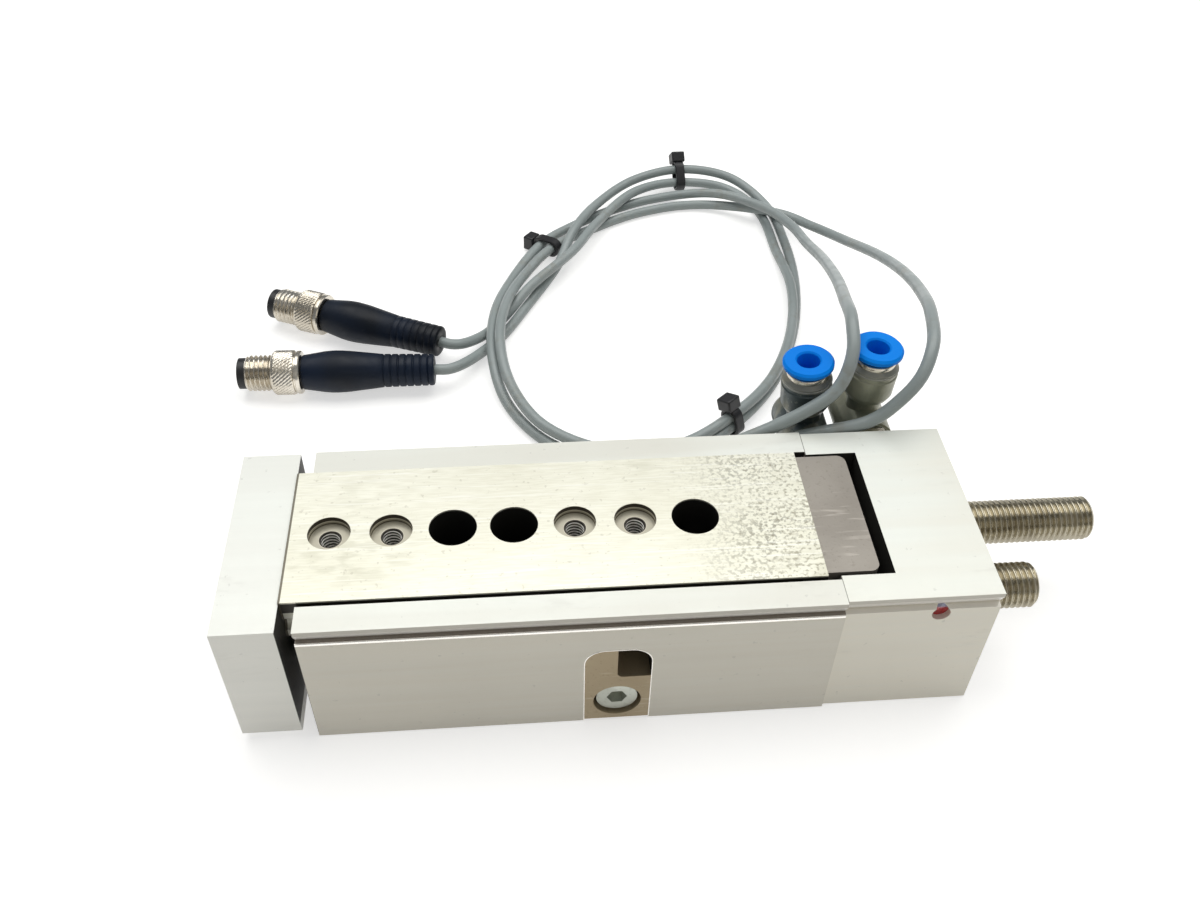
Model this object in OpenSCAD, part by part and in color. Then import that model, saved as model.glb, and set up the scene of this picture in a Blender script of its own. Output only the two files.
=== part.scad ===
// Pneumatic slide table: two cylinders side by side push a guided table through a yoke plate.
// Millimetres. X runs along the stroke, the table extends towards -X, Y points to the port side,
// Z is up. The origin is the centre of the housing's mounting face.

/* [Housing] */
// Length of the housing along the stroke
housing_l = 85.5; // [80:0.5:105]
// Width of the housing
housing_w = 39; // [37:0.5:48]
// Height of the housing, the rear block and the top of the yoke plate
body_h = 28.5; // [28:0.5:36]
// Half width of the channel that the table runs in
channel_half = 14.5; // [14.5:0.1:15.5]
// Height of the table channel's floor
channel_floor = 20.2; // [19.5:0.1:21]
// Depth of the groove under the upper side edges
edge_groove_d = 1; // [0.4:0.1:1.2]
// Edge chamfer of the cast and extruded blocks
edge_chamfer = 0.3; // [0.1:0.1:0.6]

/* [Rear block] */
// Length of the rear block
rear_l = 25.25; // [22:0.25:32]
// Width of the rear block
rear_w = 38; // [36:0.5:39]
// Depth of the pocket that the stop dog parks in
pocket_d = 8.9; // [8.9:0.1:12]
// Half width of that pocket
pocket_half = 13.75; // [13.5:0.05:14.5]

/* [Table] */
// Distance by which the table ends before the rear block
table_inset = 2.1; // [1.5:0.1:3]
// Width of the table
table_w = 28; // [27:0.5:28.4]
// How far the table stands above the housing
table_proud = 0.5; // [0.2:0.1:1]
// Stroke of the table
stroke = 30; // [10:1:30]
// Pitch of the holes along the table
hole_pitch = 10; // [9:0.5:10.5]
// Distance from the yoke plate to the first hole
first_hole = 6.6; // [5:0.1:8]
// Core radius of the M4 threads
m4_core_r = 1.65; // [1.6:0.05:1.7]
// Radius of the centring counterbores
centring_r = 3.5; // [3:0.1:3.6]
// Depth of the centring counterbores
centring_d = 1.6; // [1:0.1:2.5]
// Radius of the screwdriver access holes
access_r = 3.95; // [3.8:0.05:4.2]

/* [Yoke plate] */
// Thickness of the yoke plate
yoke_t = 9.8; // [8:0.1:14]
// Width of the yoke plate
yoke_w = 38.4; // [36:0.2:42]
// Height of the yoke plate
yoke_h = 27; // [25:0.5:28]
// Gap between the yoke plate and the housing with the table retracted
yoke_gap = 2.6; // [1:0.1:5]

/* [Cylinders] */
// Radius of the cylinder bores
bore_r = 5; // [4:0.25:5]
// Distance of each cylinder from the middle
bore_y = 9; // [8.5:0.1:9.2]
// Height of the cylinder axes
bore_z = 10.5; // [9.5:0.1:11]
// Radius of the piston rods
rod_r = 2.5; // [2:0.1:3]
// Length of a piston
piston_l = 7; // [6:0.5:8]

/* [Stops] */
// Distance of each stop screw from the middle
stop_y = 7.3; // [7:0.1:7.5]
// Height of the stop screw axes
stop_z = 15.6; // [15.2:0.1:16]
// Radius of the stop screws
stop_r = 3.95; // [3.5:0.05:4]
// How far the extend stop screw stands out of the rear block
long_stop_out = 28.3; // [15:0.1:35]
// How far the retract stop screw stands out of the rear block
short_stop_out = 13.4; // [8:0.1:20]
// Length of the stop dog along the stroke
dog_l = 8.8; // [8:0.1:9]
// Width of the stop dog
dog_w = 26.2; // [25:0.1:26.8]

/* [Fixed stop window] */
// Width of the window in the housing's front wall
window_w = 11; // [10:0.5:13]
// Height of the window's upper edge
window_top = 19.7; // [19:0.1:19.8]
// Radius of the window's upper corners
window_r = 3.4; // [2:0.1:4]

/* [Ports] */
// Distance of the first port from the rear block's front face
port_a_x = 3.55; // [3.5:0.05:5]
// Distance of the second port from the rear block's front face
port_b_x = 14.05; // [13.9:0.05:16]
// Height of the first port
port_a_z = 20.5; // [19.5:0.1:21]
// Height of the second port
port_b_z = 23; // [22:0.1:23.5]
// Radius of the elbow's swivel barrel
barrel_r = 4.8; // [4.6:0.1:4.9]
// Radius of the elbow's tube socket
socket_r = 4.65; // [4.4:0.05:4.7]
// Height of the release ring's face above the port axis
elbow_h = 17.5; // [16.5:0.1:19]
// Lean of the first elbow towards the housing, in degrees
lean_a = 4; // [0:1:6]
// Lean of the second elbow away from the first, in degrees
lean_b = 2; // [0:1:6]

/* [Sensors and cables] */
// Radius of the sensor slot
slot_r = 2; // [1.9:0.05:2.1]
// Radius of a sensor cable
cable_r = 1.2; // [1:0.05:1.2]
// Radius of the knurled coupling nut of a plug
knurl_r = 4.9; // [4.6:0.1:5.2]

/* [Hidden] */
$fn = 48;
eps = 0.01;
running_fit = 0.05;
seat_gap = 0.1;
stop_gap = 0.3;

// Places along the stroke
x_front = -housing_l / 2;
x_joint = housing_l / 2;
x_rear = x_joint + rear_l;
x_yoke = x_front - yoke_gap;
x_table_end = x_joint - table_inset;
x_dog = x_table_end + dog_l;
x_pocket = x_joint + pocket_d;
hole_x = [for (i = [0:6]) x_yoke + first_hole + i * hole_pitch];
threaded = [0, 1, 4, 5];
access = [2, 3, 6];

// Heights of the table and its guide
table_top = body_h + table_proud;
table_bottom = channel_floor + stop_gap;
ball_r = 1.5;
guide_gap = 1;
flank_y = table_w / 2 - 0.25;
ball_y = flank_y + guide_gap / 2;
rail_y = flank_y + guide_gap;
rail_t = 2.25;
rail_h = 6.2;
ball_z = channel_floor + rail_h / 2;
groove_r = ball_r + running_fit;
cage_t = 0.4;
cage_h = 4.6;
cage_l = 49;
ball_count = 12;
ball_pitch = 4;
cage_x = x_front + 16.75;

// Fixed stop and its window, placed so that the long screw has the whole stroke
stop_arm_t = 5.3;
buffer_out = 1;
long_tip = x_table_end - 3.35;
stop_face = long_tip - stroke - stop_gap;
window_x = stop_face - stop_arm_t - seat_gap;
foot_top = 12.35;
dog_channel_half = 12.6;
dog_channel_floor = 10.6;
dog_foot_half = 12.2;
dog_foot_z = 11;
stop_screw_z = 5.7;
stop_screw_recess = 0.7;

// Cylinders
bore_end = window_x - 2.4;
cap_l = 4;
cap_r = 5.8;
piston_x = bore_end - 0.4 - piston_l;
rod_seat = 1.5;

// Screws
m3_r = 1.45;
m3_head_r = 2.75;
m3_head_h = 3;
m3_hole_r = 1.6;
m3_bore_r = 3;
m4_r = 1.95;
m4_head_r = 3.45;
m4_head_h = 4;
m4_hole_r = 2.2;
m4_bore_r = 4;
mount_seat_z = 16;
mount_seat_low = 6;

// Rear block screws
rear_screw_y = 15.4;
rear_screw_z = [5, 16];
rear_screw_bore_d = 3.6;
rear_screw_grip = 8;

// Ports and elbows
m5_core_r = 2.1;
m5_r = 2.05;
port_depth = 4;
port_x = [x_joint + port_a_x, x_joint + port_b_x];
port_z = [port_a_z, port_b_z];
lean = [-lean_a, lean_b];
y_port = rear_w / 2;
y_barrel = y_port + 2.6;
y_barrel_end = y_port + 16.5;
y_socket = y_port + 9.4;
stud_r = 2.5;
seal_r = 3.4;
duct_r = 1.5;
duct_ball_x = port_x[1] + 1.7;
duct_ball_z = body_h - 4.3;

// Sensors
slot_y = housing_w / 2 - 2.1;
slot_z = bore_z;
slot_mouth = 2.8;
sensor_r = slot_r - 0.1;
sensor_l = 22;
sensor_x = [-9, -42];

// Plugs lie on the surface on their coupling nuts: [x, y] of the face and the direction in degrees
plug_pose = [[-67.8, 70, -1.5], [-63.4, 95.2, -23]];
plug_l = 42.5;
pin_r = 0.5;

// Ties: point of either route and the side their head is on
tie_points = [[34, 33, 1], [19, 18, 1], [27, 26, -1]];
tie_w = 2.4;
tie_t = 0.6;
tie_gap = 0.4;

// Routes of the two sensor cables, from the sensor to the plug, lying on the surface
cable_a_route = [
    [13, 17.4, 10.5], [15.6, 17.4, 10.5], [25.5, 20.9, 10.6], [35.5, 20.9, 20.2], [42.5, 20.7, 25.7],
    [56, 20.6, 29.6], [60.5, 20.8, 34], [63.8, 21.8, 38.7], [66.3, 26, 42], [69, 36, 41.4], [72.3, 50, 36],
    [75.2, 68, 28], [76.3, 87, 19.1], [74.5, 106, 10.4], [70, 119.8, 5.6], [63, 128.8, 4],
    [43.5, 138, 1.4], [29, 135.9, 1.2], [15, 128.8, 1.2], [3.2, 118.5, 2.5], [-4.4, 105, 3.9],
    [-9, 92, 5.6], [-10.9, 78, 5.8], [-8.7, 63.5, 4.2], [-1.8, 50.3, 3.7], [11.5, 42.3, 3.6],
    [26, 43.1, 3.8], [39, 51.3, 4.5], [48.5, 62, 4.1], [56.2, 78, 3.7], [60.2, 96.5, 3.5],
    [60.3, 116, 1.2], [58.6, 135.5, 1.2], [51, 146.8, 1.3], [38.5, 148, 2.4], [26.5, 141.8, 3.7],
    [15, 127, 3.8], [7.8, 113.2, 4.7], [-3.4, 99.3, 4.2], [-9.5, 91.5, 1.8], [-14, 85, 1.8],
    [-19.6, 78.2, 4.4], [-22, 77.62, 4.9], [-24.26, 78.58, 4.9]];
cable_b_route = [
    [-20, 17.4, 10.5], [-17.5, 17.4, 10.5], [-8.5, 20.9, 10.8], [27, 21, 23], [44.5, 21.7, 31.9],
    [49.6, 22.9, 35.8], [51.9, 25.6, 41], [52.8, 31.5, 43.5], [55, 44, 39.6], [58.9, 62, 31.2],
    [62, 82, 21.9], [63.9, 102, 12.6], [63.3, 117.5, 8], [58.7, 127.8, 6.5], [48, 138, 4.7],
    [35.5, 142.4, 1.5], [21, 137.5, 1.2], [8.5, 129.3, 1.3], [0.2, 120, 2.4], [-8.2, 103, 2.9],
    [-12, 89, 4.3], [-12.7, 74, 3.8], [-9.8, 61, 1.4], [-2, 48.7, 1.2], [10.5, 41.2, 1.2], [25, 41.4, 1.2],
    [37.5, 49, 2.3], [49.2, 63.2, 1.3], [57.8, 81.5, 1.2], [62.3, 101, 1.2], [63.3, 119.5, 1.2],
    [61.2, 138, 1.3], [53, 149, 3.1], [40, 150.8, 4.8], [27, 147.3, 4.1], [15.8, 136, 3.9],
    [8.5, 122, 4.8], [4, 111, 2.3], [-3, 98.2, 1.2], [-10, 85.2, 1.2], [-14.2, 79.6, 1.4],
    [-19.7, 71, 4.2], [-22.5, 68.83, 4.9], [-25.3, 68.9, 4.9]];

// ---------- helpers ----------

// A profile drawn as [y, z] and extruded along X
module along_x(x0, x1) {
    translate([x0, 0, 0]) rotate([90, 0, 90]) linear_extrude(height = x1 - x0) children();
}

// A profile drawn as [x, z] and extruded along Y
module along_y(y0, y1) {
    translate([0, y1, 0]) rotate([90, 0, 0]) linear_extrude(height = y1 - y0) children();
}

// Cylinders between two places on one axis
module x_rod(x0, x1, y, z, r) {
    translate([x0, y, z]) rotate([0, 90, 0]) cylinder(r = r, h = x1 - x0);
}

module y_rod(y0, y1, x, z, r) {
    translate([x, y0, z]) rotate([-90, 0, 0]) cylinder(r = r, h = y1 - y0);
}

module z_rod(z0, z1, x, y, r) {
    translate([x, y, z0]) cylinder(r = r, h = z1 - z0);
}

module both_sides() {
    for (s = [0, 1]) mirror([0, s, 0]) children();
}

// Box from corner to corner
module span(a, b) {
    translate(a) cube([b[0] - a[0], b[1] - a[1], b[2] - a[2]]);
}

// Hexagon socket key recess along +X
module hex_socket_x(x0, depth, y, z, across) {
    translate([x0, y, z]) rotate([0, 90, 0]) cylinder(r = across / sqrt(3), h = depth, $fn = 6);
}

// Cap screw along +X with its head at the -X end
module cap_screw_x(x_head, y, z, r, head_r, head_h, length, across) {
    difference() {
        union() {
            x_rod(x_head, x_head + head_h, y, z, head_r);
            x_rod(x_head + head_h - eps, x_head + head_h + length, y, z, r);
        }
        hex_socket_x(x_head - eps, head_h * 0.55, y, z, across);
    }
}

// Outline of the blocks, with the groove under both upper edges
module block_profile(w) {
    h = body_h;
    g = edge_groove_d;
    c = edge_chamfer;
    half = [[w / 2 - c, 0], [w / 2, c], [w / 2, h - 3.2], [w / 2 - g, h - 2.9], [w / 2, h - 0.9], [w / 2, h]];
    polygon(concat(half, [for (i = [5:-1:0]) [-half[i][0], half[i][1]]]));
}

// ---------- housing side ----------

module housing() {
    color("gainsboro") difference() {
        along_x(x_front, x_joint) block_profile(housing_w);
        // table channel and the undercuts that hold the rails
        span([x_front - 1, -channel_half, channel_floor], [x_joint + 1, channel_half, body_h + 1]);
        span([x_front - 1, -rail_y - rail_t, channel_floor], [x_joint + 1, rail_y + rail_t, channel_floor + rail_h]);
        // channel that the dog travels in
        span([stop_face, -dog_channel_half, dog_channel_floor], [x_joint + 1, dog_channel_half, channel_floor + 1]);
        // window and cross slot of the fixed stop
        fixed_stop_space();
        y_rod(-dog_channel_half - 1, -3.5, stop_face + 0.15, stop_screw_z, m4_core_r + 0.35);
        // cylinders and the seats of their bearings
        for (s = [-1, 1]) {
            x_rod(x_front - 1, bore_end, s * bore_y, bore_z, bore_r);
            x_rod(x_front - 1, x_front + cap_l + 0.2, s * bore_y, bore_z, cap_r + 0.01);
        }
        // mounting bores under the access holes
        for (i = access) {
            low = hole_x[i] > stop_face;
            seat = low ? mount_seat_low : mount_seat_z;
            z_rod(-1, body_h, hole_x[i], 0, m4_hole_r);
            z_rod(seat, body_h, hole_x[i], 0, 3.8);
        }
        for (i = [2, 6]) z_rod(-1, centring_d, hole_x[i], 0, centring_r);
        // sensor slot
        x_rod(x_front - 1, x_joint + 1, slot_y, slot_z, slot_r);
        span([x_front - 1, slot_y, slot_z - slot_mouth / 2], [x_joint + 1, housing_w, slot_z + slot_mouth / 2]);
        // threads of the rear block's screws
        for (s = [-1, 1], z = rear_screw_z)
            x_rod(x_joint - rear_screw_grip - 1, x_joint + 1, s * rear_screw_y, z, m3_r + 0.02);
    }
}

// Window outline: straight sides with rounded upper corners
module window_outline(gap) {
    x0 = window_x + gap;
    x1 = window_x + window_w - gap;
    z1 = window_top - gap;
    r = window_r - gap;
    translate([x0, -1]) square([x1 - x0, z1 - r + 1]);
    translate([x0 + r, z1 - r - eps]) square([x1 - x0 - 2 * r, r + eps]);
    for (x = [x0 + r, x1 - r]) translate([x, z1 - r]) circle(r = r);
}

module fixed_stop_space() {
    along_y(-housing_w, -dog_channel_half + eps) window_outline(0);
    span([window_x, -dog_channel_half, dog_channel_floor], [stop_face + eps, dog_channel_half, window_top]);
}

module fixed_stop() {
    y_face = -housing_w / 2 + 0.05;
    arm_top = window_top - seat_gap;
    color("rosybrown") difference() {
        union() {
            along_y(y_face, -dog_channel_half - seat_gap) difference() {
                window_outline(seat_gap);
                translate([-housing_l, -housing_w]) square([2 * housing_l, housing_w + 0.6]);
                translate([stop_face + 1, foot_top]) square([window_w, window_w]);
                translate([stop_face, foot_top + 1]) square([window_w, window_w]);
                translate([stop_face + 1, foot_top + 1]) circle(r = 1);
            }
            span([window_x + seat_gap, -dog_channel_half + eps, dog_channel_floor + seat_gap],
                 [stop_face, dog_channel_half - 1, arm_top]);
            span([window_x + window_r, -dog_channel_half - 1, dog_channel_floor + seat_gap],
                 [stop_face, -dog_channel_half + 1, arm_top]);
        }
        y_rod(-housing_w, 0, stop_face + 0.15, stop_screw_z, m4_hole_r);
        y_rod(-housing_w, y_face + stop_screw_recess + m4_head_h, stop_face + 0.15, stop_screw_z, m4_bore_r);
    }
}

module fixed_stop_screw() {
    y_head = -housing_w / 2 + 0.05 + stop_screw_recess;
    x = stop_face + 0.15;
    color("silver") difference() {
        union() {
            y_rod(y_head, y_head + m4_head_h - 0.02, x, stop_screw_z, m4_head_r);
            y_rod(y_head + m4_head_h - 0.1, -4, x, stop_screw_z, m4_r);
        }
        translate([x, y_head - eps, stop_screw_z]) rotate([-90, 0, 0])
            cylinder(r = 3 / sqrt(3), h = 2.2, $fn = 6);
    }
}

module rear_block() {
    color("gainsboro") difference() {
        along_x(x_joint, x_rear) block_profile(rear_w);
        // pocket of the stop dog
        span([x_joint - 1, -pocket_half, dog_channel_floor - 0.1], [x_pocket, pocket_half, body_h + 1]);
        // clearance of the extend stop screw and thread of the retract stop screw
        x_rod(x_joint, x_rear + 1, stop_y, stop_z, stop_r + 0.5);
        x_rod(x_joint, x_rear + 1, -stop_y, stop_z, stop_r + running_fit);
        // screws to the housing
        for (s = [-1, 1], z = rear_screw_z) {
            x_rod(x_joint - 1, x_rear + 1, s * rear_screw_y, z, m3_hole_r);
            x_rod(x_rear - rear_screw_bore_d, x_rear + 1, s * rear_screw_y, z, m3_bore_r);
        }
        // M5 ports
        for (i = [0, 1]) y_rod(y_port - port_depth, y_port + 1, port_x[i], port_z[i], m5_core_r);
        // cross duct with the seat of its closing ball
        y_rod(-rear_w / 2 - 1, -rear_w / 2 + 5, duct_ball_x, duct_ball_z, duct_r);
    }
}

module duct_ball() {
    color("lightsteelblue") y_rod(-rear_w / 2 + 1, -rear_w / 2 + 3.4, duct_ball_x, duct_ball_z, duct_r - 0.02);
}

module rear_block_screws() {
    for (s = [-1, 1], z = rear_screw_z)
        color("dimgray") translate([2 * x_rear, 0, 0]) mirror([1, 0, 0])
            cap_screw_x(x_rear + 0.5, s * rear_screw_y, z, m3_r, m3_head_r, m3_head_h,
                rear_l + rear_screw_grip - m3_head_h - 0.5, 2.5);
}

module guide_rails() {
    color("darkgray") both_sides() difference() {
        span([x_front + 0.2, rail_y, channel_floor], [x_joint - 0.2, rail_y + rail_t, channel_floor + rail_h]);
        x_rod(x_front - 1, x_joint + 1, ball_y, ball_z, groove_r);
    }
}

module rod_bearings() {
    color("goldenrod") both_sides() difference() {
        x_rod(x_front, x_front + cap_l, bore_y, bore_z, cap_r);
        x_rod(x_front - 1, x_front + cap_l + 1, bore_y, bore_z, rod_r + running_fit);
        x_rod(x_front - 1, x_front + 1.2, bore_y, bore_z, rod_r + 1.2);
    }
}

module rod_wipers() {
    color("black") both_sides() difference() {
        x_rod(x_front + 0.1, x_front + 1.15, bore_y, bore_z, rod_r + 1.15);
        x_rod(x_front - 1, x_front + 2, bore_y, bore_z, rod_r + 0.03);
    }
}

// ---------- table side ----------

module slide_table() {
    color("silver") difference() {
        span([x_yoke, -table_w / 2, table_bottom], [x_table_end, table_w / 2, table_top]);
        both_sides() {
            span([x_yoke - 1, flank_y, 0], [x_table_end + 1, table_w, channel_floor + rail_h + 0.1]);
            x_rod(x_yoke - 1, x_table_end + 1, ball_y, ball_z, groove_r);
        }
        for (i = threaded) {
            z_rod(table_bottom + 1, table_top + 1, hole_x[i], 0, m4_core_r);
            z_rod(table_top - centring_d, table_top + 1, hole_x[i], 0, centring_r);
        }
        for (i = access) z_rod(0, table_top + 1, hole_x[i], 0, access_r);
        // threads of the yoke screws and the dog's screws, and the dowel holes
        for (s = [-1, 1]) {
            x_rod(x_yoke - 1, x_yoke + 9, s * yoke_screw_y, yoke_screw_z, m3_r + 0.02);
            x_rod(x_yoke - 1, x_yoke + 4.2, s * dowel_y, yoke_screw_z, dowel_r + 0.01);
            x_rod(x_table_end - 8, x_table_end + 1, s * dog_screw_y, dog_screw_z, m3_r + 0.02);
        }
    }
}

yoke_screw_y = 9.5;
yoke_screw_z = 24.6;
dowel_y = 4.5;
dowel_r = 1.5;
dog_screw_y = 8.5;
dog_screw_z = 24.6;
yoke_mount_y = 10;
yoke_mount_z = 17.5;
yoke_bottom = body_h - yoke_h;

module stop_dog() {
    r = 1.6;
    color("gray") difference() {
        union() {
            translate([x_table_end, -dog_w / 2, table_bottom]) cube([dog_l - r, dog_w, body_h + 0.1 - table_bottom]);
            span([x_dog - r - eps, -dog_w / 2 + r, table_bottom], [x_dog, dog_w / 2 - r, body_h + 0.1]);
            for (s = [-1, 1]) z_rod(table_bottom, body_h + 0.1, x_dog - r, s * (dog_w / 2 - r), r);
            span([x_table_end, -dog_foot_half, dog_foot_z], [x_dog, dog_foot_half, table_bottom + eps]);
        }
        x_rod(x_table_end - 1, x_dog + 1, stop_y, stop_z, stop_r + running_fit);
        for (s = [-1, 1]) {
            x_rod(x_table_end - 1, x_dog + 1, s * dog_screw_y, dog_screw_z, m3_hole_r);
            x_rod(x_dog - 3.2, x_dog + 1, s * dog_screw_y, dog_screw_z, m3_bore_r);
        }
    }
}

module stop_dog_screws() {
    for (s = [-1, 1]) color("dimgray") translate([2 * x_dog, 0, 0]) mirror([1, 0, 0])
        cap_screw_x(x_dog + 0.1, s * dog_screw_y, dog_screw_z, m3_r, m3_head_r, m3_head_h, 12, 2.5);
}

module yoke_plate() {
    c = edge_chamfer;
    color("gainsboro") difference() {
        along_x(x_yoke - yoke_t, x_yoke) polygon([
            [-yoke_w / 2, body_h], [-yoke_w / 2, yoke_bottom + c], [-yoke_w / 2 + c, yoke_bottom],
            [yoke_w / 2 - c, yoke_bottom], [yoke_w / 2, yoke_bottom + c], [yoke_w / 2, body_h]]);
        for (s = [-1, 1]) {
            // screws into the table
            x_rod(x_yoke - yoke_t - 1, x_yoke + 1, s * yoke_screw_y, yoke_screw_z, m3_hole_r);
            x_rod(x_yoke - yoke_t - 1, x_yoke - yoke_t + 3.6, s * yoke_screw_y, yoke_screw_z, m3_bore_r);
            x_rod(x_yoke - 4.2, x_yoke + 1, s * dowel_y, yoke_screw_z, dowel_r + 0.01);
            // rods and their screws
            x_rod(x_yoke - rod_seat, x_yoke + 1, s * bore_y, bore_z, rod_r + 0.01);
            x_rod(x_yoke - yoke_t - 1, x_yoke + 1, s * bore_y, bore_z, m3_hole_r);
            x_rod(x_yoke - yoke_t - 1, x_yoke - yoke_t + 3.6, s * bore_y, bore_z, m3_bore_r);
            // front mounting threads with centring
            x_rod(x_yoke - yoke_t - 1, x_yoke - 1, s * yoke_mount_y, yoke_mount_z, m4_core_r);
            x_rod(x_yoke - yoke_t - 1, x_yoke - yoke_t + centring_d, s * yoke_mount_y, yoke_mount_z, centring_r);
        }
    }
}

module yoke_screws() {
    for (s = [-1, 1]) color("dimgray")
        cap_screw_x(x_yoke - yoke_t + 0.6, s * yoke_screw_y, yoke_screw_z, m3_r, m3_head_r, m3_head_h,
            yoke_t - 3.6 + 8, 2.5);
}

module yoke_dowels() {
    for (s = [-1, 1]) color("darkgray") x_rod(x_yoke - 4, x_yoke + 4, s * dowel_y, yoke_screw_z, dowel_r);
}

module rod_screws() {
    for (s = [-1, 1]) color("dimgray")
        cap_screw_x(x_yoke - yoke_t + 0.6, s * bore_y, bore_z, m3_r, m3_head_r, m3_head_h,
            yoke_t - 3.6 + 6, 2.5);
}

module piston_rods() {
    color("silver") for (s = [-1, 1]) difference() {
        union() {
            x_rod(x_yoke - rod_seat, piston_x, s * bore_y, bore_z, rod_r);
            x_rod(piston_x - eps, piston_x + piston_l - 0.6, s * bore_y, bore_z, 1.5);
        }
        x_rod(x_yoke - rod_seat - 1, x_yoke + 7.5, s * bore_y, bore_z, m3_r + 0.02);
    }
}

// Half section of a piston: [distance from its rod end, radius], with two seal grooves and the magnet groove
module pistons() {
    r = bore_r - 0.1;
    l = piston_l;
    color("black") for (s = [-1, 1]) translate([piston_x, s * bore_y, bore_z]) rotate([0, 90, 0]) difference() {
        cylinder(r = r, h = l);
        translate([0, 0, -1]) cylinder(r = 1.52, h = l + 2);
        for (g = piston_grooves) translate([0, 0, g[0]]) difference() {
            cylinder(r = r + 1, h = g[1]);
            translate([0, 0, -1]) cylinder(r = g[2], h = g[1] + 2);
        }
    }
}

// Grooves of a piston as [start, width, inner radius]
piston_grooves = [[0.7, 1.5, 3.7], [2.6, 1.8, 3.2], [4.8, 1.5, 3.7]];

module groove_ring(g, r) {
    translate([0, 0, g[0] + 0.05]) difference() {
        cylinder(r = r, h = g[1] - 0.1);
        translate([0, 0, -1]) cylinder(r = g[2] + 0.02, h = g[1] + 2);
    }
}

module piston_seals() {
    color("darkslategray") for (s = [-1, 1], i = [0, 2])
        translate([piston_x, s * bore_y, bore_z]) rotate([0, 90, 0]) groove_ring(piston_grooves[i], bore_r - 0.02);
}

module piston_magnets() {
    color("gray") for (s = [-1, 1])
        translate([piston_x, s * bore_y, bore_z]) rotate([0, 90, 0]) groove_ring(piston_grooves[1], bore_r - 0.3);
}

// ---------- guide ----------

module ball_cages() {
    color("peru") both_sides() difference() {
        span([cage_x, ball_y - cage_t / 2, ball_z - cage_h / 2], [cage_x + cage_l, ball_y + cage_t / 2, ball_z + cage_h / 2]);
        for (i = [0:ball_count - 1]) y_rod(ball_y - 1, ball_y + 1, ball_x(i), ball_z, ball_r + running_fit);
    }
}

function ball_x(i) = cage_x + cage_l / 2 + (i - (ball_count - 1) / 2) * ball_pitch;

module guide_balls() {
    color("white") for (s = [-1, 1], i = [0:ball_count - 1])
        translate([ball_x(i), s * ball_y, ball_z]) sphere(r = ball_r);
}

// ---------- stop screws ----------

// Stop screw with a chamfered end, a buffer bore at its tip and a key socket at its outer end
module stop_screw(x0, x1, y) {
    ch = 0.6;
    difference() {
        translate([x0, y, stop_z]) rotate([0, 90, 0]) rotate_extrude()
            polygon([[0, 0], [stop_r - ch, 0], [stop_r, ch], [stop_r, x1 - x0 - ch], [stop_r - ch, x1 - x0], [0, x1 - x0]]);
        x_rod(x0 - 1, x0 + 2, y, stop_z, 2.52);
        hex_socket_x(x1 - 3, 4, y, stop_z, 4);
    }
}

module long_stop_screw() {
    color("tan") stop_screw(long_tip + buffer_out, x_rear + long_stop_out, stop_y);
}

module long_stop_buffer() {
    color("orangered") x_rod(long_tip, long_tip + buffer_out + 2, stop_y, stop_z, 2.5);
}

module short_stop_screw() {
    color("tan") stop_screw(x_dog + stop_gap + buffer_out, x_rear + short_stop_out, -stop_y);
}

module short_stop_buffer() {
    color("orangered") x_rod(x_dog + stop_gap, x_dog + stop_gap + buffer_out + 2, -stop_y, stop_z, 2.5);
}

// ---------- ports ----------

// Hollow stud screwed into the port, which the elbow's barrel turns on
module port_studs() {
    for (i = [0, 1]) color("silver") translate([port_x[i], 0, port_z[i]]) rotate([-90, 0, 0]) difference() {
        union() {
            translate([0, 0, y_port - port_depth + 0.4]) cylinder(r = m5_r, h = port_depth);
            translate([0, 0, y_port + 0.8]) cylinder(r = 4 / cos(30), h = 1.5, $fn = 6);
            translate([0, 0, y_port]) cylinder(r = stud_r, h = 15);
        }
        translate([0, 0, y_port - port_depth]) cylinder(r = 1.1, h = 15);
    }
}

module port_seals() {
    for (i = [0, 1]) color("dimgray") difference() {
        y_rod(y_port, y_port + 0.78, port_x[i], port_z[i], seal_r);
        y_rod(y_port - 1, y_port + 2, port_x[i], port_z[i], stud_r + 0.02);
    }
}

module elbow_frame(i) {
    translate([port_x[i], y_socket, port_z[i]]) rotate([0, lean[i], 0]) children();
}

// Zinc body: a barrel with a rounded end on the stud and the tube socket on a short neck
module elbow_body(i) {
    color("darkslategray") difference() {
        union() {
            translate([port_x[i], y_barrel, port_z[i]]) rotate([-90, 0, 0]) rotate_extrude() barrel_section();
            elbow_frame(i) rotate_extrude() socket_section();
        }
        y_rod(y_barrel - 1, y_barrel_end - 1.2, port_x[i], port_z[i], stud_r + running_fit);
        elbow_frame(i) {
            translate([0, 0, 8]) cylinder(r = sleeve_r + 0.02, h = elbow_h);
            translate([0, 0, 0]) cylinder(r = 1.3, h = elbow_h);
        }
    }
}

sleeve_r = 3.3;
socket_top = elbow_h - 3.1;
ring_t = 1.4;
ring_travel_gap = 0.6;
sleeve_top = elbow_h - ring_t - ring_travel_gap;

module barrel_section() {
    l = y_barrel_end - y_barrel;
    r = 1.6;
    square([barrel_r - r, l]);
    translate([0, 0.4]) square([barrel_r, l - 0.4 - r]);
    translate([0, 0]) square([barrel_r - 0.4, 1]);
    translate([barrel_r - r, l - r]) intersection() {
        circle(r = r);
        square([r, r]);
    }
}

module socket_section() {
    polygon([[0, 0], [3.2, 0], [3.2, 6.2], [socket_r - 0.6, 6.9], [socket_r - 0.1, 8], [socket_r, socket_top - 2.2],
        [socket_r - 0.2, socket_top - 2], [socket_r - 0.2, socket_top - 0.7], [socket_r - 0.9, socket_top], [0, socket_top]]);
}

module elbow_a() { elbow_body(0); }
module elbow_b() { elbow_body(1); }

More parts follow.
